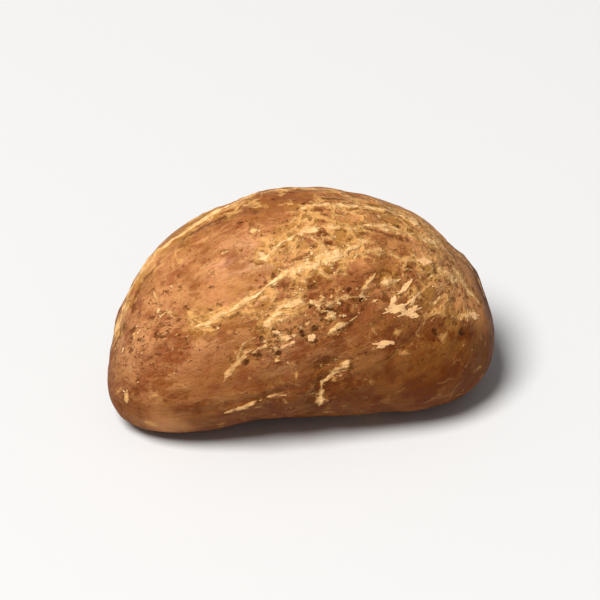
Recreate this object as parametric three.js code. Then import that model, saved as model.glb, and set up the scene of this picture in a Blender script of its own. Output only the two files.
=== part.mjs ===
// A bitter kola nut: the shelled seed of Garcinia kola, whole and in its thin brown skin.
// Millimetres, +Z up. X runs along the nut, from its blunt tip at -X to its round end at +X.
// The nut lies on its belly, and the origin is under its middle, on the surface that it rests on.
import * as THREE from "three";
import { mergeVertices } from "three/addons/utils/BufferGeometryUtils.js";

// Driving dimensions
const LENGTH = 38;
const WIDTH = 20.5;
const HEIGHT = 22.6;

// The plain form is a rounded body, widest at one level. Its section across the nut is an oval, and its
// side view is a half moon: an arch over the back, and a straighter belly with squarer ends.
// Each power gives a curve its fullness: 2 is an ellipse, and more is squarer.
const BACK_SHARE = 0.58; // of the height, above the level where the nut is widest
const FLAT_SHARE = 0.01; // of the belly's depth, worn off by the small flat that the nut rests on
const SECTION_POWER = 2.15;
const BACK_POWER = 2.0;
const BELLY_POWER = 3.6;

// Heights on a ball of radius 1 between which the arch of the back turns into the squarer belly.
const ALL_BACK = 0.35;
const ALL_BELLY = -0.55;

// The low ridge where the seam of the skin runs over the back: it dies out down the two ends.
const SEAM_PUSH = 0.012;
const SEAM_SPREAD = 0.12;
const SEAM_FADES = -0.1;
const SEAM_FULL = 0.5;

// Swellings and hollows. Each moves the skin out or in by a share of its distance from the centre: most
// in its own direction, and less over an angle of about its spread, in radians.
const SWELLINGS = [
  // the blunt tip, low at the narrow end
  { towards: [-1, -0.12, -0.43], spread: 0.34, push: 0.185 },
  // the round end: sloping over, worn a little flat, and with a heel under it
  { towards: [0.7, -0.05, 0.62], spread: 0.68, push: -0.064 },
  { towards: [0.8, -0.05, 0.2], spread: 0.38, push: -0.05 },
  { towards: [0.85, 0, -0.44], spread: 0.5, push: 0.11 },
  // the waist, deepest in the near flank behind the tip
  { towards: [-0.5, -0.6, -0.65], spread: 0.3, push: -0.045 },
  { towards: [0, -0.85, -0.5], spread: 0.4, push: -0.024 },
  { towards: [0, 0.85, -0.5], spread: 0.4, push: -0.02 },
  // the flatter middle of each flank
  { towards: [0, -1, 0.1], spread: 0.6, push: -0.02 },
  { towards: [0.1, 1, 0.2], spread: 0.6, push: -0.01 },
];

// Each of an icosahedron's 20 faces is cut into (SUBDIVISIONS + 1) squared triangles.
const SUBDIVISIONS = 20;

const SKIN_COLOUR = 0xa9713f;
const SKIN_ROUGHNESS = 0.6;

// Distance from the centre to the plain form's surface along a unit direction.
function plainRadius(direction) {
  const belly = THREE.MathUtils.smoothstep(ALL_BACK - direction.z, 0, ALL_BACK - ALL_BELLY);
  const power = THREE.MathUtils.lerp(BACK_POWER, BELLY_POWER, belly);
  const rise = BACK_SHARE * HEIGHT;
  const drop = ((1 - BACK_SHARE) * HEIGHT) / (1 - FLAT_SHARE);
  const across = Math.abs(direction.y / (WIDTH / 2)) ** SECTION_POWER;
  const upright = Math.abs(direction.z / (direction.z > 0 ? rise : drop)) ** SECTION_POWER;
  const along = Math.abs(direction.x / (LENGTH / 2)) ** power;
  return ((across + upright) ** (power / SECTION_POWER) + along) ** (-1 / power);
}

// The factor that the swellings and the seam make on that distance.
function relief(direction) {
  let factor = 1;
  for (const { towards, spread, push } of SWELLINGS) {
    const angle = direction.angleTo(new THREE.Vector3(...towards));
    factor += push * Math.exp(-((angle / spread) ** 2));
  }
  const onTheBack = THREE.MathUtils.smoothstep(direction.z, SEAM_FADES, SEAM_FULL);
  return factor + SEAM_PUSH * onTheBack * Math.exp(-((direction.y / SEAM_SPREAD) ** 2));
}

// A closed ball of even triangles around the centre.
function ball() {
  const geometry = new THREE.IcosahedronGeometry(1, SUBDIVISIONS);
  geometry.deleteAttribute("normal");
  geometry.deleteAttribute("uv");
  return mergeVertices(geometry);
}

// The ball with each corner moved to the skin of the nut, and none left below the flat.
function nutBody() {
  const body = ball();
  const corners = body.getAttribute("position");
  const flat = -(1 - BACK_SHARE) * HEIGHT;
  const corner = new THREE.Vector3();
  for (let i = 0; i < corners.count; i++) {
    corner.fromBufferAttribute(corners, i).normalize();
    corner.multiplyScalar(plainRadius(corner) * relief(corner));
    corners.setXYZ(i, corner.x, corner.y, Math.max(corner.z, flat));
  }
  return body;
}

// Brings a geometry to the driving dimensions and stands it over the origin.
function toSize(geometry) {
  geometry.computeBoundingBox();
  const size = geometry.boundingBox.getSize(new THREE.Vector3());
  const centre = geometry.boundingBox.getCenter(new THREE.Vector3());
  return geometry
    .translate(-centre.x, -centre.y, -geometry.boundingBox.min.z)
    .scale(LENGTH / size.x, WIDTH / size.y, HEIGHT / size.z);
}

const skin = new THREE.MeshStandardMaterial({ color: SKIN_COLOUR, roughness: SKIN_ROUGHNESS, metalness: 0 });
const nut = new THREE.Mesh(toSize(nutBody()), skin);
nut.name = "nut";

const part = new THREE.Group();
part.add(nut);

export default part;
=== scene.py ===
import math

import bpy
import numpy as np
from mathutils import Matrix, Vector


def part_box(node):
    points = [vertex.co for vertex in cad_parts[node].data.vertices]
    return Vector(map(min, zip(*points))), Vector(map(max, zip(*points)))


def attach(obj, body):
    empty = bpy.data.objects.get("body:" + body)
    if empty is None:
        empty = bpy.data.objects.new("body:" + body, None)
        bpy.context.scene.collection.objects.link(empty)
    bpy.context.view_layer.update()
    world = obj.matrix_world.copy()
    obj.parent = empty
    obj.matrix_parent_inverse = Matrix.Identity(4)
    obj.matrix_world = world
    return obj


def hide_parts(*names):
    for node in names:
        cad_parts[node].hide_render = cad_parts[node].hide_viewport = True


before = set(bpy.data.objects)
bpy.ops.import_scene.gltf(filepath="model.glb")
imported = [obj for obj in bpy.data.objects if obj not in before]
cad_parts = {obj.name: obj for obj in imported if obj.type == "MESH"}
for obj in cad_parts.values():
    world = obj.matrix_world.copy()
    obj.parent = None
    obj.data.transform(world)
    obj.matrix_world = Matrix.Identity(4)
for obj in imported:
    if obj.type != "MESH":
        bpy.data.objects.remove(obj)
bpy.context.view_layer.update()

MM = 0.001


# ---- The body of the nut ----
# The whole seed of a bitter kola fruit, shelled and dry outside: one firm body, arched over its back and
# straighter under its belly, low and blunt at one end and round at the other, lying on a small flat.

NUT_LOW, NUT_HIGH = (np.array(corner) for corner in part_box("nut"))
NUT_LENGTH, NUT_WIDTH, NUT_HEIGHT = NUT_HIGH - NUT_LOW

BACK_SHARE = 0.58  # of the height, above the level where the nut is widest
FLAT_SHARE = 0.01  # of the belly's depth, worn off by the flat
SECTION_POWER = 2.15  # 2 is an ellipse, and more is squarer
BACK_POWER = 2.0
BELLY_POWER = 3.6
ALL_BACK = 0.35  # heights on a ball of radius 1 between which the arch turns into the squarer belly
ALL_BELLY = -0.55

# Swellings and hollows: the way each one lies, its spread in radians, and its push as a share of the
# distance from the centre.
SWELLINGS = [
    ((-1, -0.12, -0.43), 0.34, 0.185),  # the blunt tip
    ((0.7, -0.05, 0.62), 0.68, -0.064),  # the round end: sloping over, worn a little flat,
    ((0.8, -0.05, 0.2), 0.38, -0.05),
    ((0.85, 0, -0.44), 0.5, 0.11),  # and with a heel under it
    ((-0.5, -0.6, -0.65), 0.3, -0.045),  # the waist, deepest in the near flank behind the tip
    ((0, -0.85, -0.5), 0.4, -0.024),
    ((0, 0.85, -0.5), 0.4, -0.02),
    ((0, -1, 0.1), 0.6, -0.02),  # the flatter middle of each flank
    ((0.1, 1, 0.2), 0.6, -0.01),
]

BALL_CUTS = 128


def grid_squares(number):
    """The squares between the numbered points of a grid, four numbers to a row."""
    corners = [number[:-1, :-1], number[1:, :-1], number[1:, 1:], number[:-1, 1:]]
    return np.stack(corners, -1).reshape(-1, 4)


def ball(cuts):
    """Directions from the centre of a ball, and the squares between them. Each face of a cube is ruled at
    equal angles and blown up to the ball, and the corners that faces share are made one."""
    ruled = np.tan(np.linspace(-np.pi / 4, np.pi / 4, cuts + 1))
    a, b = np.meshgrid(ruled, ruled, indexing="ij")
    one = np.ones_like(a)
    faces = [(one, a, b), (-one, b, a), (b, one, a), (a, -one, b), (a, b, one), (b, a, -one)]
    corners = np.concatenate([np.stack(face, -1).reshape(-1, 3) for face in faces])
    corners /= np.linalg.norm(corners, axis=1, keepdims=True)
    squares = grid_squares(np.arange(one.size).reshape(one.shape))
    squares = np.concatenate([squares + face * one.size for face in range(len(faces))])
    _, first, shared = np.unique(
        np.round(corners, 6) + 0.0, axis=0, return_index=True, return_inverse=True
    )
    return corners[first], shared.reshape(-1)[squares]


def ease(value, start, end):
    """0 as far as the start, 1 from the end on, and a smooth S between them. The end may be below the
    start."""
    share = np.clip((value - start) / (end - start), 0, 1)
    return share * share * (3 - 2 * share)


def plain_distance(directions):
    """Distance from the centre to the plain form. Width and height join as an oval, and that oval joins
    the length by a power that is 2 over the back, as an ellipse, and larger, so squarer, at the belly."""
    x, y, z = directions.T
    power = BACK_POWER + (BELLY_POWER - BACK_POWER) * ease(z, ALL_BACK, ALL_BELLY)
    rise = BACK_SHARE * NUT_HEIGHT
    drop = (1 - BACK_SHARE) * NUT_HEIGHT / (1 - FLAT_SHARE)
    across = np.abs(y / (NUT_WIDTH / 2)) ** SECTION_POWER
    upright = np.abs(z / np.where(z > 0, rise, drop)) ** SECTION_POWER
    along = np.abs(x / (NUT_LENGTH / 2)) ** power
    return ((across + upright) ** (power / SECTION_POWER) + along) ** (-1 / power)


def swelling_factor(directions):
    """1 plus each swelling's push times a bell curve of the angle from the swelling's own direction."""
    factor = np.ones(len(directions))
    for towards, spread, push in SWELLINGS:
        middle = np.array(towards) / np.linalg.norm(towards)
        angle = np.arccos(np.clip(directions @ middle, -1, 1))
        factor += push * np.exp(-((angle / spread) ** 2))
    return factor


# ---- The grain of the skin ----
# The thin brown skin grew with its fibres and veins running from the blunt tip to the round end. Its
# places are given along that grain and around it, and wavering is a sum of plane waves.

GRAIN_TILT = math.radians(16)
GRAIN_ALONG = np.array([math.cos(GRAIN_TILT), 0, math.sin(GRAIN_TILT)])
GRAIN_UP = np.array([-math.sin(GRAIN_TILT), 0, math.cos(GRAIN_TILT)])
GRAIN_REACH = 15.5  # millimetres for each radian along
GRAIN_RING = 11.0  # millimetres, the ring's radius at the middle


def grain_place(directions):
    """Two angles in degrees: along, from -90 at the tip to 90 at the round end, and around, from 0 at the
    middle of the near flank through 90 at the back to 180 at the far flank, with the belly at -90."""
    along = np.degrees(np.arcsin(np.clip(directions @ GRAIN_ALONG, -1, 1)))
    around = np.degrees(np.arctan2(directions @ GRAIN_UP, -directions[:, 1]))
    return along, around


def from_grain_place(along, around):
    """The direction with those two angles."""
    along, around = np.radians(along), np.radians(around)
    ring = np.cos(along)
    near = np.array([0, -1, 0])
    return (
        np.multiply.outer(np.sin(along), GRAIN_ALONG)
        + np.multiply.outer(ring * np.sin(around), GRAIN_UP)
        + np.multiply.outer(ring * np.cos(around), near)
    )


def grain_space(directions):
    """Places in millimetres for patterns that follow the grain: X is the way along it, and Y and Z a ring
    round it, which narrows to nothing at the ends as the square root of the cosine."""
    along, around = (np.radians(angle) for angle in grain_place(directions))
    ring = GRAIN_RING * np.sqrt(np.cos(along))
    return np.stack([GRAIN_REACH * along, ring * np.cos(around), ring * np.sin(around)], -1)


def wavering(places, wavelength, seed, stretch=1.0, waves=48):
    """A smooth random field of mean 0 and spread about 1: a sum of plane waves of about one wavelength,
    each with its own direction and start, and `stretch` times longer along X than across it."""
    random = np.random.default_rng(seed)
    ways = random.normal(size=(waves, 3))
    ways /= np.linalg.norm(ways, axis=1, keepdims=True)
    ways *= (2 * np.pi / wavelength) * random.uniform(0.7, 1.4, size=(waves, 1))
    ways[:, 0] /= stretch
    starts = random.uniform(0, 2 * np.pi, size=waves)
    return np.sin(places @ ways.T + starts).sum(1) * math.sqrt(2 / waves)


# ---- The seam and the veins ----
# Pale veins fan out from the tip and run along the nut, with short side veins, and a thin raised seam
# follows the back. They are shallow troughs of the skin, partly filled with a pale crumbly deposit. The
# seam's pale line, which runs close along the back's outline, is also in part a painted highlight on that
# rim.

# Each vein: its two ends as (along, around), its bow to one side in degrees, its half width in
# millimetres, and how well the deposit fills it, from 0 to 1.
# The seam is partly real and partly a painted highlight along the back's rim.
SEAM_AND_RIM_HIGHLIGHT = [
    ((-78, 95), (-2, 110), -2.0, 0.60, 1.0),
    ((-8, 108), (84, 101), 2.5, 0.20, 0.6),
]
NEAR_VEINS = [
    ((-46, 53), (-2, 57), -1, 0.28, 1.0),
    ((-8, 56), (43, 66), 2, 0.31, 1.0),
    ((-12, 68), (12, 74), 0, 0.26, 1.0),
    ((6, 72), (66, 79), 2, 0.18, 0.9),
    ((12, 87), (70, 98), 3, 0.33, 1.0),
    ((-21, 41), (6, 44), 0, 0.36, 1.0),
    ((4, 44), (28, 45), 0, 0.14, 0.4),
    ((-42, 27), (-19, 32), 0, 0.16, 0.35),
    ((34, 60), (60, 50), 2, 0.15, 0.5),
    ((62, 82), (80, 74), 0, 0.20, 0.9),
]
# Short scars and small crumbs of deposit, thickest near the first of their two ends: the ends, the half
# width and the filling.
NEAR_SCARS = [
    ((12, 27), (28, 30), 0.30, 1.0),
    ((-6, -19), (-1, -2), 0.34, 1.0),
    ((17, 6), (-1, -3), 0.42, 1.0),
    ((33, 42), (41, 49), 0.18, 0.9),
    ((43, 43), (52, 42), 0.34, 0.9),
    ((64, 79), (49, 78), 0.26, 1.0),
    ((73, 41), (80, -5), 0.28, 1.0),
    ((80, -4), (76, -46), 0.26, 0.9),
    ((75, 96), (85, 50), 0.36, 0.9),
    ((82, 30), (79, -25), 0.34, 0.8),
    # the seam continued round the round end, in part a painted highlight along that rim
    ((84, 125), (82, -120), 0.30, 0.9),
    ((82, -122), (75, -88), 0.34, 0.9),
    ((-36, 1), (-49, -4), 0.30, 0.9),
    ((-30, 1), (-8, -7), 0.14, 0.7),
    ((-51, 78), (-52, 71), 0.24, 0.5),
    ((69, -16), (72, -34), 0.26, 0.8),
    ((-75, 14), (-74, 27), 0.15, 0.6),
    ((-33, 109), (-18, 113), 0.50, 0.5),
    ((-39, 27), (-44, 19), 0.16, 0.3),
    ((-10, 82), (-7, 82), 0.18, 0.7),
    ((-8, 68), (-5, 69), 0.30, 1.0),
    ((-24, 77), (-21, 77), 0.16, 0.5),
    ((-13, 32), (-11, 33), 0.32, 1.0),
    ((0, 28), (2, 29), 0.28, 0.9),
    ((-22, 32), (-20, 33), 0.22, 0.8),
    ((-29, 30), (-25, 32), 0.20, 0.7),
    ((-20, 22), (-18, 24), 0.24, 0.8),
    ((1, 35), (3, 36), 0.26, 0.8),
    ((-17, 41), (-13, 43), 0.22, 0.7),
    ((9, 41), (11, 42), 0.20, 0.8),
    ((12, 46), (14, 45), 0.18, 0.7),
    ((14, 35), (16, 36), 0.20, 0.7),
    ((-50, 66), (-49, 60), 0.16, 0.4),
]
FAR_VEIN_COUNT = 9
FAR_FROM, FAR_TO = 122, 298

# Places where the skin is different: along, around, radius in degrees, and how much. It is rough above 0
# and smoother than elsewhere below.
ROUGH_PLACES = [
    (-58, 14, 14, -0.5),
    (-42, 10, 10, -0.3),
    (-24, 61, 6, -0.8),
    (-60, 100, 9, -0.6),
    (-42, 102, 9, -0.6),
    (-24, 110, 9, -0.6),
    (34, -20, 12, -0.5),
    (48, -31, 10, -0.4),
    (-17, 30, 6, 0.8),
    (-3, 33, 6, 0.6),
    (18, 38, 8, 0.9),
    (33, 40, 7, 0.8),
    (50, 32, 8, 0.3),
    (16, 79, 13, 0.2),
    (74, 12, 13, 0.5),
    (-58, 62, 14, 0.4),
    (-66, 38, 13, 0.3),
    (5, 195, 14, 0.7),
    (40, 290, 12, 0.6),
]
# More golden above 0, and less below.
GOLDEN_PLACES = [
    (-8, 48, 8, 0.9),
    (2, 72, 9, 0.4),
    (18, 80, 14, 0.7),
    (40, 84, 12, 0.5),
    (58, 38, 10, 0.5),
    (47, 44, 5, 0.7),
    (66, 52, 7, 0.8),
    (72, 30, 10, 0.5),
    (64, -2, 12, 0.45),
    (-25, 112, 6, 1.0),
    (64, 118, 12, 0.5),
    (42, 66, 9, -0.3),
    (-62, 60, 12, -0.35),
    (-10, 205, 20, 0.4),
]
# Paler above 0 and darker below: skin rubbed pale or grown thick and dark, and also painted light and
# painted shade, such as the paler far rim at the round end and the darker top rim and lower round end.
WEAR_AND_PAINTED_LIGHT_PLACES = [
    (-30, 56, 12, 0.7),
    (-40, 82, 9, -0.5),
    (-15, 63, 10, 0.3),
    (8, 65, 10, 0.6),
    (36, 84, 14, 0.35),
    (70, 68, 12, 0.8),
    (77, 10, 12, 1.1),
    (-7, 40, 6, 0.5),
    (-67, -10, 9, 0.6),
    (-26, 112, 6, 0.8),
    (0, 97, 15, -0.9),
    (24, 42, 12, -1.3),
    (29, 55, 7, -0.4),
    (46, 52, 8, -0.4),
    (31, 24, 10, -0.9),
    (42, 18, 6, -0.6),
    (-51, 26, 12, -0.7),
    (-33, 34, 9, -0.7),
    (-36, 14, 9, -0.5),
    (8, 4, 18, -0.3),
    (64, -14, 14, -0.15),
    (42, -36, 12, -0.9),
    (16, 101, 9, -0.7),
    (66, 122, 14, 0.8),
    (-17, 30, 8, 0.9),
    (23, 54, 6, -0.5),
    (56, 43, 6, -0.5),
    (-24, 57, 6, -0.25),
    (-29, 71, 7, -0.25),
    (18, 30, 5, -0.4),
    (39, 21, 6, -0.5),
    (-57, 47, 8, 0.4),
    (-62, 19, 8, 0.25),
    (70, -45, 8, 0.5),
    (52, 82, 6, 0.4),
    (84, 150, 12, 0.8),
]
# Small pits where the skin has broken open beside the deposit, at their deepest for 1.
PITS = [
    (-14, 35.5, 2.0, 1),
    (-22, 36.5, 1.9, 1),
    (-17, 26, 1.9, 1),
    (-27, 28, 1.9, 1),
    (-34, 26, 1.8, 1),
    (-2, 32, 2.2, 0.9),
    (3, 25, 1.6, 0.9),
    (5, 32, 2.0, 1),
    (10, 35, 1.8, 1),
    (6, 43, 1.8, 0.9),
    (18, 26, 1.9, 1),
    (16, 38, 2.0, 1),
    (-10, 47, 1.5, 0.9),
    (50, 41, 1.6, 1),
    (32, 38, 1.8, 1),
    (27, 45, 1.8, 0.9),
    (58, -5, 1.8, 0.9),
    (66, -13, 1.8, 0.8),
    (64, -22, 1.8, 0.8),
    (71, 42, 1.8, 0.9),
]

FAR_STARTS = (-55, -15)  # where the far veins start and end along, in degrees
FAR_ENDS = (15, 58)
SIDE_VEIN_EVERY = 14  # degrees along a main vein
SCAR_TAPER = 0.7  # below 1, a scar is thickest near its first end
END_FADE = 4  # degrees before and past a vein's end over which it fades
PAST_THE_END = 6  # half widths that a point past a vein's end counts as away from it
GOLDEN_REACH = 4.2  # half widths over which the skin beside a vein is golden
FAR_OFF = 99.0  # half widths, for a point that no vein has been found near yet
# How the veins wander sideways: millimetres, wavelength, and the seed of the field.
VEIN_WANDER = [(0.35, 9, 21), (0.10, 2.6, 22)]


def on_vein(vein, share):
    """The (along, around) at a share of the vein's way: straight between its ends, bowed to one side."""
    (along_0, around_0), (along_1, around_1), bow = vein[:3]
    along = along_0 + (along_1 - along_0) * share
    around = around_0 + (around_1 - around_0) * share + bow * np.sin(np.pi * share)
    return along, around


def far_veins():
    """Veins of the far flank and the belly: evenly spaced round, at random lengths."""
    random = np.random.default_rng(11)
    veins = []
    for middle in np.linspace(FAR_FROM, FAR_TO, FAR_VEIN_COUNT):
        around = middle + random.uniform(-8, 8, size=2)
        start = random.uniform(*FAR_STARTS), around[0]
        end = random.uniform(*FAR_ENDS), around[1]
        bow = random.uniform(-8, 8)
        half_width = random.uniform(0.14, 0.21)
        filling = random.uniform(0.5, 0.95)
        veins.append((start, end, bow, half_width, filling))
    return veins


def side_veins(main_veins):
    """Short thin veins that leave each main vein at a slant, to one side or the other."""
    random = np.random.default_rng(5)
    veins = []
    for main in main_veins:
        for _ in range(round((main[1][0] - main[0][0]) / SIDE_VEIN_EVERY)):
            along, around = on_vein(main, random.uniform(0.05, 0.95))
            length = random.uniform(7, 20)
            slant = random.choice([-1, 1]) * random.uniform(0.3, 0.9)
            end = along + length, around + length * slant
            filling = main[4] * random.uniform(0.3, 0.7)
            bow = random.uniform(-2, 2)
            half_width = random.uniform(0.08, 0.13)
            veins.append(((along, around), end, bow, half_width, filling))
    return veins


def turn_between(angle, other):
    """The turn from one angle to another in degrees, at most half a circle either way."""
    return (angle - other + 180) % 360 - 180


def vein_distance(vein, points, along, around, waver):
    """Distance in millimetres from a vein's middle line to each point, below 0 on one side of it, and 1
    beside the vein, falling to 0 past its ends. The line wavers sideways with the field that is given."""
    (along_0, around_0), (along_1, around_1) = vein[:2]
    share = np.clip((along - along_0) / (along_1 - along_0), 0, 1)
    _, middle = on_vein(vein, share)
    off_axis = np.linalg.norm(points - np.outer(points @ GRAIN_ALONG, GRAIN_ALONG), axis=1) / MM
    sideways = np.radians(turn_between(around, middle)) * off_axis + waver
    rise = (around_1 - around_0) / (along_1 - along_0) * off_axis * MM / np.linalg.norm(points, axis=1)
    begun = ease(along, along_0 - END_FADE, along_0 + END_FADE)
    not_ended = ease(along, along_1 + END_FADE, along_1 - END_FADE)
    return sideways / np.sqrt(1 + rise ** 2), begun * not_ended


def scar_distance(scar, points):
    """The same to the straight line between a scar's ends, made longer towards the ends, where the scar
    is thinner."""
    start, end = (from_grain_place(*place) for place in scar[:2])
    far_out = np.linalg.norm(points, axis=1)
    away = points / far_out[:, None] - start
    share = np.clip(away @ (end - start) / ((end - start) @ (end - start)), 0, 1)
    gap = np.linalg.norm(away - np.outer(share, end - start), axis=1) * far_out / MM
    side = np.sign(away @ np.cross(start, end))
    return side * gap / (0.35 + 0.65 * np.sin(np.pi * share ** SCAR_TAPER)), 1


def vein_fields(points, directions):
    """Four fields of the skin: the distance to the nearest vein in that vein's half widths, the same below
    0 on one side of it, how well the deposit fills that vein, and how golden the skin is, which comes
    near 1 where full veins crowd."""
    along, around = grain_place(directions)
    places = grain_space(directions)
    waver = sum(push * wavering(places, wavelength, seed) for push, wavelength, seed in VEIN_WANDER)
    swollen = np.maximum(1 + 0.3 * wavering(places, 5, 23), 0.4)
    main_veins = [*SEAM_AND_RIM_HIGHLIGHT, *NEAR_VEINS, *far_veins()]
    all_veins = main_veins + side_veins(main_veins)
    lines = [(vein, *vein_distance(vein, points, along, around, waver)) for vein in all_veins]
    plain = np.ones(len(points))
    for line, distance, beside in lines:
        half_width, filling = line[-2:]
        plain *= 1 - filling * beside * np.exp(-((distance / (GOLDEN_REACH * half_width)) ** 2))
    lines += [(scar, *scar_distance(scar, points)) for scar in NEAR_SCARS]
    nearest = np.full(len(points), FAR_OFF)
    across = np.full(len(points), FAR_OFF)
    filled = np.zeros(len(points))
    for line, distance, beside in lines:
        half_width, filling = line[-2:]
        away = np.abs(distance) / (half_width * swollen) + PAST_THE_END * (1 - beside)
        closer = away < nearest
        filled = np.where(closer, filling, filled)
        across = np.where(closer, away * np.sign(distance), across)
        nearest = np.minimum(away, nearest)
    return nearest, across, filled, 1 - plain


def places_field(directions, places):
    """The sum of a bell curve round each place, as wide as its radius and as high as its strength."""
    field = np.zeros(len(directions))
    for along, around, radius, strength in places:
        cosine = directions @ from_grain_place(along, around)
        angle = np.degrees(np.arccos(np.clip(cosine, -1, 1)))
        field += strength * np.exp(-((angle / radius) ** 2))
    return np.clip(field, -1, 1)


# ---- The skin's surface ----
# The dried skin lies tight on the seed, but not smooth: it is wrinkled finely along the grain, sunk
# beside the veins, crumbly on them, dented here and there, and broken by small pits.

DENT_DEPTH = 0.07 * MM
RIPPLE_HEIGHT = 0.045 * MM
WRINKLE_HEIGHT = 0.025 * MM
TROUGH_DEPTH = 0.08 * MM
PIT_DEPTH = 0.1 * MM
DEPOSIT_HEIGHT = 0.13 * MM
CRUMB_HEIGHT = 0.03 * MM
END_CALM = 14  # degrees from each end of the grain over which the small heights die out
SEAM_RIDGE = 0.012  # of the distance from the centre
SEAM_SPREAD = 0.12
SEAM_RISES = (-0.1, 0.5)  # heights on a ball of radius 1 between which the ridge rises
SEAM_ENDS = (0.95, 0.6)  # and ways along it towards the round end between which it dies out
SUNK_REACH, CRUMBLY_REACH = 4, 2  # half widths


def skin_surface(directions):
    """Points of the skin, with the fields of its veins. The plain form is swollen, then raised and sunk by
    small heights, and cut flat under the belly."""
    x, y, z = directions.T
    distance = plain_distance(directions) * swelling_factor(directions)
    ridge = ease(z, *SEAM_RISES) * ease(x, *SEAM_ENDS) * np.exp(-((y / SEAM_SPREAD) ** 2))
    distance *= 1 + SEAM_RIDGE * ridge
    smooth = directions * distance[:, None]
    from_vein, across_vein, filled, golden = vein_fields(smooth, directions)
    rough = places_field(directions, ROUGH_PLACES)
    places = grain_space(directions)
    crumbs = 0.5 + 0.5 * np.tanh(wavering(places, 0.9, 31, stretch=1.6))
    height = DENT_DEPTH * wavering(places, 8, 32)
    height += RIPPLE_HEIGHT * wavering(places, 2.4, 35, stretch=2.5)
    height += WRINKLE_HEIGHT * wavering(places, 1.3, 33, stretch=5)
    height += CRUMB_HEIGHT * np.maximum(golden, 1.5 * rough) * wavering(places, 0.8, 34, stretch=1.5)
    height *= ease(90 - np.abs(grain_place(directions)[0]), 0, END_CALM)
    height += DEPOSIT_HEIGHT * crumbs * filled * np.exp(-((from_vein / CRUMBLY_REACH) ** 2))
    height -= TROUGH_DEPTH * filled * np.exp(-((from_vein / SUNK_REACH) ** 2))
    height -= PIT_DEPTH * places_field(directions, PITS)
    points = smooth + directions * height[:, None]
    points[:, 2] = np.maximum(points[:, 2], -(1 - BACK_SHARE) * NUT_HEIGHT)
    return points, from_vein, across_vein, filled, golden, rough


skin_directions, skin_squares = ball(BALL_CUTS)
skin_points, from_vein, across_vein, filled, golden, rough = skin_surface(skin_directions)
skin_low, skin_high = skin_points.min(0), skin_points.max(0)


def to_cad_box(points):
    """Brings points of the skin, and of what lies on it, to the size and place of the CAD solid."""
    return NUT_LOW + (points - skin_low) * (NUT_HIGH - NUT_LOW) / (skin_high - skin_low)


def mesh_piece(name, points, faces, smooth=True):
    """A mesh object at the origin, from arrays of points and faces."""
    mesh = bpy.data.meshes.new(name)
    mesh.from_pydata(points.tolist(), [], faces.tolist())
    mesh.polygons.foreach_set("use_smooth", np.full(len(faces), smooth))
    mesh.update()
    piece = bpy.data.objects.new(name, mesh)
    bpy.context.scene.collection.objects.link(piece)
    return piece


def keep_field(piece, name, values):
    """Stores one number, or three, for each point of the mesh, for the material to read."""
    kind, part = ("FLOAT", "value") if values.ndim == 1 else ("FLOAT_VECTOR", "vector")
    field = piece.data.attributes.new(name, kind, "POINT")
    field.data.foreach_set(part, values.astype(np.float32).ravel())


KEPT_REACH = 20  # half widths, past which the material doesn't tell distances apart

nut_skin = mesh_piece("nut_skin", to_cad_box(skin_points), skin_squares)
keep_field(nut_skin, "grain_space", grain_space(skin_directions))
keep_field(nut_skin, "from_vein", np.minimum(from_vein, KEPT_REACH))
keep_field(nut_skin, "across_vein", np.clip(across_vein, -KEPT_REACH, KEPT_REACH))
keep_field(nut_skin, "filled", filled)
keep_field(nut_skin, "golden", 1 - (1 - golden) * (1 - places_field(skin_directions, GOLDEN_PLACES)))
# places of wear, and of painted light and painted shade
keep_field(nut_skin, "worn_tone_and_painted_light", places_field(skin_directions, WEAR_AND_PAINTED_LIGHT_PLACES))
keep_field(nut_skin, "rough", rough)
keep_field(nut_skin, "pitted", places_field(skin_directions, PITS))


# ---- The skin's colour and sheen ----
# Thin, dry and satin: tan where it is rubbed, red brown where it is thick, olive gold round the veins,
# with dark pits, fine pale fibres along the grain, and a cream deposit broken up along each vein. Some of
# the paler and darker places, the deeper brown low on the flanks and the dark lines beside the veins are
# painted light and painted shade.

TAN = (0.60, 0.25, 0.083, 1)
DUSTY_TAN = (0.60, 0.264, 0.100, 1)
RED_BROWN = (0.27, 0.072, 0.018, 1)
OLIVE_GOLD = (0.42, 0.19, 0.036, 1)
DEEP_BROWN = (0.12, 0.032, 0.005, 1)
# painted shade: the deep brown laid low on the flanks, where shade falls under the nut
PAINTED_SHADE_BROWN = (0.125, 0.026, 0.002, 1)
PIT_BROWN = (0.05, 0.012, 0.002, 1)
PALE_TAN = (0.70, 0.31, 0.115, 1)
CREAM = (0.93, 0.57, 0.26, 1)
STRAW = (0.76, 0.39, 0.125, 1)
PALE_PEACH = (0.90, 0.51, 0.235, 1)


def add(tree, kind, inputs=None, **settings):
    """Adds a node with its own settings. Each input is a value, or a socket to link from."""
    node = tree.nodes.new(kind)
    for name, value in settings.items():
        setattr(node, name, value)
    for place, value in (inputs or {}).items():
        if isinstance(value, bpy.types.NodeSocket):
            tree.links.new(value, node.inputs[place])
        else:
            node.inputs[place].default_value = value
    return node


def noise(tree, places, scale, detail=2.0, roughness=0.5):
    """A noise value, about 0.5 on average."""
    inputs = {"Vector": places, "Scale": scale, "Detail": detail, "Roughness": roughness}
    return add(tree, "ShaderNodeTexNoise", inputs).outputs["Fac"]


def between(tree, value, low, high, to_low=0.0, to_high=1.0):
    """The value's place between low and high, smoothed, as a number from to_low to to_high."""
    inputs = {"Value": value, "From Min": low, "From Max": high, "To Min": to_low, "To Max": to_high}
    return add(tree, "ShaderNodeMapRange", inputs, interpolation_type="SMOOTHSTEP").outputs["Result"]


def maths(tree, operation, a, b=0.0, c=0.0):
    """One step of arithmetic on values or sockets."""
    return add(tree, "ShaderNodeMath", {0: a, 1: b, 2: c}, operation=operation).outputs[0]


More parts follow.
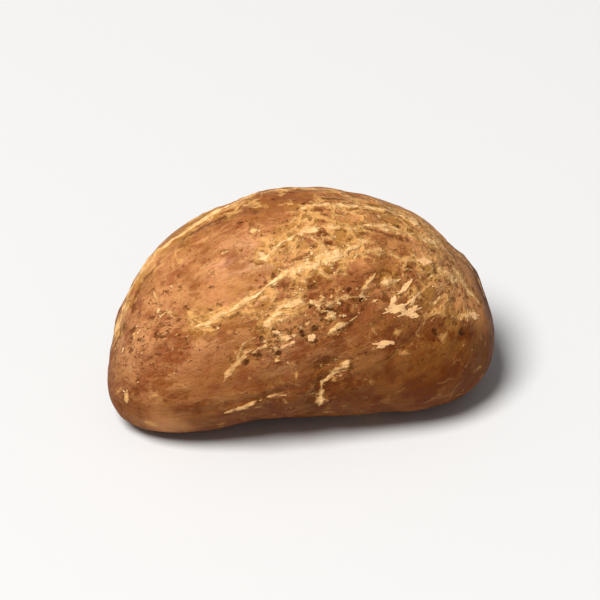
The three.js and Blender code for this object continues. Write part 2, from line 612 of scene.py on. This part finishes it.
def away_from(tree, value, middle):
    """How far a value is from a middle one, either way."""
    return maths(tree, "ABSOLUTE", maths(tree, "SUBTRACT", value, middle))


def lay(tree, under, over, factor):
    """One colour laid over another by a factor."""
    return add(tree, "ShaderNodeMix", {"Factor": factor, 6: under, 7: over}, data_type="RGBA").outputs[2]


def new_group(name, inputs, outputs):
    """An empty node group with named inputs and outputs, each a (name, kind, value) or a (name, kind)."""
    tree = bpy.data.node_groups.new(name, "ShaderNodeTree")
    for label, kind, value in inputs:
        socket = tree.interface.new_socket(label, in_out="INPUT", socket_type=kind)
        if value is not None:
            socket.default_value = value
    for label, kind in outputs:
        tree.interface.new_socket(label, in_out="OUTPUT", socket_type=kind)
    return tree, tree.nodes.new("NodeGroupInput").outputs, tree.nodes.new("NodeGroupOutput").inputs


def grain_places(tree):
    """The piece's own coordinates in millimetres, turned so that X runs along the grain."""
    places = tree.nodes.new("ShaderNodeTexCoord").outputs["Object"]
    turn = (0, GRAIN_TILT, 0)
    scale = (1 / MM, 1 / MM, 1 / MM)
    return add(tree, "ShaderNodeMapping", {"Vector": places, "Rotation": turn, "Scale": scale}).outputs[0]


def stretched(tree, places, shrink):
    """Coordinates in which a pattern comes out longer along the grain."""
    return add(tree, "ShaderNodeMapping", {"Vector": places, "Scale": (shrink, 1, 1)}).outputs[0]


def fibre_net(tree, places, cell, stretch, bend, width):
    """A crooked net of strands, the edges between random cells longer along the grain than across it: 1 on
    the strands and 0 a width away from them. Cell, bend and width are in millimetres."""
    turns = add(tree, "ShaderNodeTexNoise", {"Vector": places, "Scale": 1 / cell, "Detail": 2.0})
    bends = {0: turns.outputs["Color"], 1: (2 * bend,) * 3, 2: places}
    bent = add(tree, "ShaderNodeVectorMath", bends, operation="MULTIPLY_ADD").outputs[0]
    cells = {"Vector": stretched(tree, bent, 1 / stretch), "Scale": 1 / cell}
    edges = add(tree, "ShaderNodeTexVoronoi", cells, feature="DISTANCE_TO_EDGE").outputs["Distance"]
    return between(tree, edges, width / cell, 0.3 * width / cell)


def dried_skin_group():
    """Dried seed skin: a mottle of tan and red brown, rubbed paler and worn darker in small streaks, with
    fine fibres along the grain, hair-thin cracks and dark pits."""
    colour, number, vector = "NodeSocketColor", "NodeSocketFloat", "NodeSocketVector"
    tree, given, made = new_group(
        "dried_skin",
        [
            ("Places", vector, None),
            ("Light", colour, TAN),
            ("Dark", colour, RED_BROWN),
            ("Rough", number, 0.5),
        ],
        [("Color", colour), ("Height", number), ("Roughness", number)],
    )
    places, coarse = given["Places"], given["Rough"]
    broad = between(tree, noise(tree, places, 0.17, 3, 0.6), 0.42, 0.58)
    patches = between(tree, noise(tree, stretched(tree, places, 0.35), 0.6, 3, 0.65), 0.43, 0.57)
    streaks = noise(tree, stretched(tree, places, 0.22), 1.9, 3, 0.6)
    fibres = noise(tree, stretched(tree, places, 0.09), 4.6, 3, 0.6)
    wander = noise(tree, stretched(tree, places, 0.2), 1.1, 3, 0.6)
    crack = between(tree, away_from(tree, wander, 0.5), 0.012, 0.0)
    crack = maths(tree, "MULTIPLY", crack, between(tree, noise(tree, places, 0.7, 2), 0.52, 0.64))
    grit = noise(tree, places, 4.5, 4, 0.7)
    pits = maths(tree, "MULTIPLY", between(tree, grit, 0.42, 0.33), coarse)
    dark = maths(tree, "MULTIPLY_ADD", broad, 0.4, maths(tree, "MULTIPLY", patches, 0.6))
    skin = lay(tree, given["Light"], given["Dark"], dark)
    skin = lay(tree, skin, STRAW, between(tree, streaks, 0.55, 0.70, 0, 0.30))
    skin = lay(tree, skin, DEEP_BROWN, between(tree, streaks, 0.44, 0.30, 0, 0.40))
    skin = lay(tree, skin, TAN, between(tree, fibres, 0.54, 0.74, 0, 0.4))
    skin = lay(tree, skin, DEEP_BROWN, between(tree, fibres, 0.46, 0.26, 0, 0.45))
    skin = lay(tree, skin, DEEP_BROWN, between(tree, grit, 0.46, 0.34, 0, 0.15))
    skin = lay(tree, skin, DEEP_BROWN, maths(tree, "MULTIPLY", crack, 0.5))
    skin = lay(tree, skin, DEEP_BROWN, maths(tree, "MULTIPLY", pits, 0.8))
    sunk = maths(tree, "MULTIPLY_ADD", pits, 0.7, maths(tree, "MULTIPLY", crack, 0.6))
    raised = maths(tree, "MULTIPLY_ADD", fibres, 1.0, maths(tree, "MULTIPLY", grit, coarse))
    raised = maths(tree, "MULTIPLY_ADD", streaks, 1.5, raised)
    tree.links.new(skin, made["Color"])
    tree.links.new(maths(tree, "SUBTRACT", raised, sunk), made["Height"])
    tree.links.new(between(tree, grit, 0.3, 0.7, 0.42, 0.60), made["Roughness"])
    return tree


dried_skin = dried_skin_group()


def new_material(name):
    """A new material, its node tree and its surface shader."""
    material = bpy.data.materials.new(name)
    material.use_nodes = True
    tree = material.node_tree
    return material, tree, tree.nodes["Principled BSDF"]


def field(tree, name, kind="Fac"):
    """What keep_field stored: a number, or three with the kind "Vector"."""
    return add(tree, "ShaderNodeAttribute", attribute_name=name).outputs[kind]


MESH_SLACK = 1.0  # half widths by which the mesh may round off a vein's middle line
# how far out the painted shade beside the raised veins lies
PAINTED_SHADE_AWAY = 3.2  # half widths from a vein's middle line to the dark gaps beside it
# Painted shade low on the flanks: the levels between which it turns the skin deeper brown.
PAINTED_SHADE_FROM, PAINTED_SHADE_TO = 22, 8  # millimetres above the table, between which the skin turns deeper brown
PAINTED_SHADE_WAVER = 6  # millimetres by which those levels are uneven


def seed_skin_material():
    """Dried skin, worn and golden in its places, with dark gaps, a net of strands, veins and flecks laid
    over it in turn. Painted light and painted shade are laid in as well: in some of the worn places, low on
    the flanks and beside the veins. What is pale and raised is also duller, and rubbed skin has a faint
    sheen."""
    material, tree, surface = new_material("seed_skin")
    places = field(tree, "grain_space", "Vector")
    across = maths(tree, "ABSOLUTE", field(tree, "across_vein"))
    from_vein = maths(tree, "MAXIMUM", across, maths(tree, "SUBTRACT", field(tree, "from_vein"), MESH_SLACK))
    filled = field(tree, "filled")
    golden = field(tree, "golden")
    rough = field(tree, "rough")
    worn_tone_and_painted_light = field(tree, "worn_tone_and_painted_light")
    drift = noise(tree, places, 0.35, 3, 0.6)

    grain_x = add(tree, "ShaderNodeSeparateXYZ", {0: places}).outputs["X"]
    light = lay(tree, TAN, DUSTY_TAN, between(tree, grain_x, 4, -6))
    skin_inputs = {"Places": places, "Light": light, "Rough": maths(tree, "MULTIPLY_ADD", rough, 0.6, 0.35)}
    skin = add(tree, "ShaderNodeGroup", skin_inputs, node_tree=dried_skin)

    # rubbed pale places and thick dark ones, partly painted light and painted shade, and painted shade low
    # on the flanks
    wear_and_painted_light = maths(tree, "MULTIPLY_ADD", drift, 0.8, maths(tree, "SUBTRACT", worn_tone_and_painted_light, 0.4))
    colour = lay(tree, skin.outputs["Color"], RED_BROWN, between(tree, wear_and_painted_light, -0.1, -0.9, 0, 0.8))
    # painted shade: deeper brown low on the flanks, darker towards the table, for the shade under the nut
    level = add(tree, "ShaderNodeSeparateXYZ", {0: grain_places(tree)}).outputs["Z"]
    uneven = maths(tree, "MULTIPLY_ADD", noise(tree, places, 0.2, 2), PAINTED_SHADE_WAVER, level)
    low = between(tree, uneven, PAINTED_SHADE_FROM, PAINTED_SHADE_TO, 0, 0.9)
    colour = lay(tree, colour, PAINTED_SHADE_BROWN, low)
    colour = lay(tree, colour, PALE_TAN, between(tree, wear_and_painted_light, 0.1, 0.9, 0, 0.8))

    # olive gold clouds, thick beside the veins and thin elsewhere
    clouds = between(tree, noise(tree, places, 0.45, 3, 0.6), 0.43, 0.57)
    gold = maths(tree, "MULTIPLY", clouds, maths(tree, "MULTIPLY_ADD", golden, 0.7, 0.15))
    colour = lay(tree, colour, OLIVE_GOLD, gold)

    # dark gaps, most in the rough places, and painted shade beside the raised veins
    gap_noise = noise(tree, stretched(tree, places, 0.5), 2.0, 3, 0.65)
    opening = maths(tree, "MULTIPLY_ADD", golden, -0.02, maths(tree, "MULTIPLY", rough, -0.20))
    dark_gaps_and_painted_shade = between(tree, maths(tree, "ADD", gap_noise, opening), 0.37, 0.29)
    # painted shade: a dark line beside each filled vein, where its raised deposit would cast shade
    beside = between(tree, away_from(tree, from_vein, PAINTED_SHADE_AWAY), 1.6, 0.4)
    beside = maths(tree, "MULTIPLY", beside, between(tree, gap_noise, 0.56, 0.44))
    not_smooth = between(tree, rough, -0.45, -0.05)
    beside = maths(tree, "MULTIPLY", beside, not_smooth)
    dark_gaps_and_painted_shade = maths(tree, "MAXIMUM", dark_gaps_and_painted_shade, maths(tree, "MULTIPLY", beside, filled))
    colour = lay(tree, colour, DEEP_BROWN, maths(tree, "MULTIPLY", dark_gaps_and_painted_shade, 0.75))
    pit_noise = noise(tree, stretched(tree, places, 0.6), 1.8, 4, 0.75)
    pits = between(tree, maths(tree, "MULTIPLY_ADD", pit_noise, 3.6, field(tree, "pitted")), 2.25, 2.6)
    colour = lay(tree, colour, PIT_BROWN, maths(tree, "MULTIPLY", pits, 0.85))
    dark_gaps_and_painted_shade = maths(tree, "MAXIMUM", dark_gaps_and_painted_shade, pits)

    # a net of pale strands: fine and close on golden skin, wide and faint elsewhere, broken up everywhere
    fine = fibre_net(tree, places, 1.0, 2.6, 0.5, 0.2)
    whole = maths(tree, "MULTIPLY_ADD", golden, 0.26, noise(tree, places, 0.5, 3, 0.6))
    whole = between(tree, whole, 0.58, 0.76)
    fine = maths(tree, "MULTIPLY", fine, maths(tree, "MULTIPLY", whole, not_smooth))
    wide = fibre_net(tree, places, 2.6, 3.2, 1.3, 0.12)
    wide = maths(tree, "MULTIPLY", wide, between(tree, drift, 0.48, 0.64, 0, 0.2))
    net = maths(tree, "MAXIMUM", fine, wide)
    colour = lay(tree, colour, STRAW, maths(tree, "MULTIPLY", net, 0.8))

    # each vein is a crisp line, faint and broken where it is poorly filled, and pale and whole where it
    # is full
    ragged = maths(tree, "SUBTRACT", noise(tree, stretched(tree, places, 0.35), 2.2, 4, 0.65), 0.5)
    ragged = maths(tree, "MULTIPLY", ragged, between(tree, filled, 0.5, 1.0, 9.0, 5.0))
    wandering = maths(tree, "ADD", from_vein, ragged)
    line = between(tree, filled, 0.0, 1.0, 0.3, 1.0)
    line = maths(tree, "MULTIPLY", between(tree, wandering, 1.5, 0.6), line)
    colour = lay(tree, colour, STRAW, line)
    crumbs = between(tree, noise(tree, places, 2.6, 3, 0.6), 0.40, 0.54)
    core = maths(tree, "MULTIPLY_ADD", crumbs, 0.4, 0.6)
    core = maths(tree, "MULTIPLY", between(tree, wandering, 0.9, 0.2), core)
    creamy = maths(tree, "MULTIPLY", core, between(tree, filled, 0.5, 1.0, 0.3, 0.95))
    colour = lay(tree, colour, CREAM, creamy)

    # flecks of deposit, close together on the veins and scattered where the skin is rough
    fleck_noise = noise(tree, stretched(tree, places, 0.45), 2.1, 3, 0.6)
    pull = maths(tree, "MULTIPLY_ADD", filled, 0.06, 0.02)
    pull = maths(tree, "MULTIPLY", between(tree, from_vein, 4.0, 0.0), pull)
    pull = maths(tree, "MULTIPLY_ADD", golden, 0.06, maths(tree, "MULTIPLY_ADD", rough, 0.15, pull))
    flecks = between(tree, maths(tree, "ADD", fleck_noise, pull), 0.67, 0.74)
    fleck_colour = lay(tree, STRAW, CREAM, between(tree, noise(tree, places, 1.1, 2), 0.42, 0.56))
    colour = lay(tree, colour, fleck_colour, maths(tree, "MULTIPLY", flecks, 0.9))

    strands = maths(tree, "MAXIMUM", line, net)
    bare = maths(tree, "MULTIPLY_ADD", dark_gaps_and_painted_shade, -0.7, skin.outputs["Height"])
    height = maths(tree, "ADD", strands, bare)
    height = maths(tree, "MULTIPLY_ADD", maths(tree, "MAXIMUM", flecks, core), 0.7, height)
    bump = add(tree, "ShaderNodeBump", {"Strength": 0.9, "Distance": 0.11 * MM, "Height": height})
    dusty = maths(tree, "MAXIMUM", strands, flecks)
    dullness = maths(tree, "MULTIPLY_ADD", dusty, 0.2, skin.outputs["Roughness"])
    tree.links.new(colour, surface.inputs["Base Color"])
    tree.links.new(dullness, surface.inputs["Roughness"])
    # no sheen in the painted shade low on the flanks
    outside_painted_shade = maths(tree, "SUBTRACT", 0.85, low)
    rubbed = maths(tree, "MULTIPLY", outside_painted_shade, between(tree, bare, 1.1, 1.6))
    tree.links.new(maths(tree, "MULTIPLY", rubbed, 0.35), surface.inputs["Coat Weight"])
    surface.inputs["Coat Roughness"].default_value = 0.45
    tree.links.new(bump.outputs["Normal"], surface.inputs["Normal"])
    surface.inputs["Specular IOR Level"].default_value = 0.04
    return material


nut_skin.data.materials.append(seed_skin_material())
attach(nut_skin, "root")
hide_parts("nut")


# ---- Loose flakes of skin ----
# Where the outermost skin has dried and torn, small papery flakes of it lie on the nut, thickest where
# veins meet near the round end. Each is a thin closed plate, with one end curled up a little.

# Each spot: its place along and around, how far its flakes scatter in degrees, how far they turn from the
# grain, how many there are, and their usual length and width in millimetres.
FLAKE_SPOTS = [
    (47, 25, 0.8, -20, 3, 2.0, 0.60),
    (54, 18, 0.8, -28, 3, 2.0, 0.60),
    (47, 30, 0.5, 60, 1, 1.2, 0.50),
    (56, 26, 0.5, 25, 2, 1.3, 0.45),
    (54, 36, 0.3, 21, 1, 1.4, 0.50),
    (38, 8, 0.5, -30, 3, 1.8, 0.55),
    (71, -32, 0.4, -83, 2, 2.0, 0.50),
    (2, 28, 0.2, 4, 1, 1.0, 0.60),
    (-14, 32, 4.0, 0, 6, 0.6, 0.30),
    (67, 51, 0.4, -20, 2, 1.6, 0.85),
    (66, 97, 0.2, 0, 1, 1.7, 0.80),
    (30, 180, 5.0, 10, 5, 1.3, 0.60),
    (-20, 215, 14.0, 0, 4, 0.7, 0.35),
]
FLAKE_THICKNESS = 0.035 * MM
FLAKE_SUNK = 0.01 * MM  # so that no flake floats above the skin
FLAKE_CURL = 0.05 * MM
FLAKE_ROWS, FLAKE_COLUMNS = 18, 7


def flake_sheets():
    """Every flake as a grid of outward directions (rows along it, columns across it), and how far it lifts
    there. Its sides are a blunt arc broken by two waves, and its ends are slanted, so its rim is ragged."""
    random = np.random.default_rng(17)
    counts = [spot[4] for spot in FLAKE_SPOTS]
    spots = np.repeat([spot[:4] + spot[5:] for spot in FLAKE_SPOTS], counts, axis=0)
    count = len(spots)
    along = spots[:, 0] + random.normal(0, 1, count) * spots[:, 2]
    around = spots[:, 1] + random.normal(0, 1, count) * spots[:, 2]
    out = from_grain_place(along, around)
    middle = skin_surface(out)[0]
    ahead = np.cross(np.cross(out, GRAIN_ALONG), out)
    ahead /= np.linalg.norm(ahead, axis=1, keepdims=True)
    aside = np.cross(out, ahead)
    heading = np.radians(spots[:, 3:4] + random.normal(0, 12, (count, 1)))
    ahead, aside = (
        ahead * np.cos(heading) + aside * np.sin(heading),
        aside * np.cos(heading) - ahead * np.sin(heading),
    )
    size = spots[:, 4:] * MM / 2 * random.uniform(0.6, 1.25, (count, 2))
    s, t = np.meshgrid(np.linspace(-1, 1, FLAKE_ROWS), np.linspace(-1, 1, FLAKE_COLUMNS), indexing="ij")
    starts = random.uniform(0, 2 * np.pi, (2, count, 1, 1))
    ragged = 0.22 * np.sin(5 * s + np.sign(t) + starts[0]) + 0.16 * np.sin(13 * s + 2 * t + starts[1])
    arc = (1.05 - np.abs(s) ** 2.2) ** 0.6 * (1 + ragged)
    forward = size[:, 0, None, None] * (s + 0.3 * t * np.sin(starts[0]) + 0.12 * np.sin(4 * t + starts[1]))
    sideways = size[:, 1, None, None] * t * arc
    flat = middle[:, None, None] + ahead[:, None, None] * forward[..., None]
    flat = flat + aside[:, None, None] * sideways[..., None]
    ways = flat / np.linalg.norm(flat, axis=-1, keepdims=True)
    lift = FLAKE_CURL * ease(s, -0.2, 1) * random.uniform(0.2, 1, (count, 1, 1))
    return ways, lift


def flake_plates():
    """Closed plates from the sheets: a top and an underside a thickness apart, joined by a strip of faces
    round the rim."""
    ways, lift = flake_sheets()
    count = len(ways)
    on_skin = skin_surface(ways.reshape(-1, 3))[0].reshape(ways.shape)
    under = on_skin + ways * (lift[..., None] - FLAKE_SUNK)
    top = under + ways * FLAKE_THICKNESS
    points = np.stack([top, under], 1).reshape(-1, 3)
    number = np.arange(FLAKE_ROWS * FLAKE_COLUMNS).reshape(FLAKE_ROWS, FLAKE_COLUMNS)
    top_faces = grid_squares(number)
    rim = np.concatenate([number[:, 0], number[-1, 1:], number[-2::-1, -1], number[0, -2:0:-1]])
    after = np.roll(rim, -1)
    rim_faces = np.stack([rim, rim + number.size, after + number.size, after], -1)
    plate = np.concatenate([top_faces, top_faces[:, ::-1] + number.size, rim_faces])
    faces = np.concatenate([plate + flake * 2 * number.size for flake in range(count)])
    return to_cad_box(points), faces


def papery_flake_material():
    """The same dried skin, thin, dry and bleached pale."""
    material, tree, surface = new_material("papery_flake")
    places = grain_places(tree)
    skin_inputs = {"Places": places, "Light": PALE_PEACH, "Dark": CREAM, "Rough": 0.0}
    skin = add(tree, "ShaderNodeGroup", skin_inputs, node_tree=dried_skin)
    height = skin.outputs["Height"]
    bump = add(tree, "ShaderNodeBump", {"Strength": 0.5, "Distance": 0.04 * MM, "Height": height})
    tree.links.new(skin.outputs["Color"], surface.inputs["Base Color"])
    tree.links.new(skin.outputs["Roughness"], surface.inputs["Roughness"])
    tree.links.new(bump.outputs["Normal"], surface.inputs["Normal"])
    surface.inputs["Specular IOR Level"].default_value = 0.1
    return material


skin_flakes = mesh_piece("skin_flakes", *flake_plates())
skin_flakes.data.materials.append(papery_flake_material())
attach(skin_flakes, "root")


# ---- The ground, the light and the camera ----
# A plain pale table under one large soft lamp at the upper left, with light from all round, seen from
# above the near flank.

TABLE_REACH = 1.5
TABLE_WHITE = (0.70, 0.705, 0.71, 1)


def table():
    """A flat white square under the nut."""
    corners = np.array([[-1, -1, 0], [1, -1, 0], [1, 1, 0], [-1, 1, 0]]) * TABLE_REACH
    piece = mesh_piece("table", corners, np.array([[0, 1, 2, 3]]), smooth=False)
    material, tree, surface = new_material("table_white")
    surface.inputs["Base Color"].default_value = TABLE_WHITE
    surface.inputs["Roughness"].default_value = 0.8
    surface.inputs["Specular IOR Level"].default_value = 0.1
    piece.data.materials.append(material)


table()

SCENE_MIDDLE = (NUT_LOW + NUT_HIGH) / 2


def towards(azimuth, elevation):
    """The direction of a view from the near side, turned to the right and raised, in degrees."""
    turn, rise = math.radians(azimuth), math.radians(elevation)
    return np.array([math.sin(turn) * math.cos(rise), -math.cos(turn) * math.cos(rise), math.sin(rise)])


def aim(thing, azimuth, elevation, distance):
    """Puts a lamp or a camera out in that direction, looking at the middle of the nut."""
    way = Vector(towards(azimuth, elevation))
    thing.location = Vector(SCENE_MIDDLE) + way * distance
    thing.rotation_euler = way.to_track_quat("Z", "Y").to_euler()
    bpy.context.scene.collection.objects.link(thing)


def soft_lamp(name, azimuth, elevation, distance, size, power, colour):
    """A round lamp, large enough for soft shadows."""
    lamp = bpy.data.lights.new(name, "AREA")
    lamp.shape = "DISK"
    lamp.size = size
    lamp.energy = power
    lamp.color = colour
    aim(bpy.data.objects.new(name, lamp), azimuth, elevation, distance)


soft_lamp(
    "upper_left_lamp",
    azimuth=-50,
    elevation=62,
    distance=1.4,
    size=0.6,
    power=26.5,
    colour=(1.0, 0.98, 0.955),
)

world = bpy.data.worlds.new("room")
bpy.context.scene.world = world
world.use_nodes = True
room_light = world.node_tree.nodes["Background"].inputs
room_light["Color"].default_value = (1.0, 0.99, 0.985, 1)
room_light["Strength"].default_value = 0.20

camera = bpy.data.cameras.new("camera")
camera.lens = 262
camera_object = bpy.data.objects.new("camera", camera)
aim(camera_object, azimuth=-9, elevation=39, distance=0.42)
bpy.context.scene.camera = camera_object
bpy.context.scene.view_settings.view_transform = "Standard"
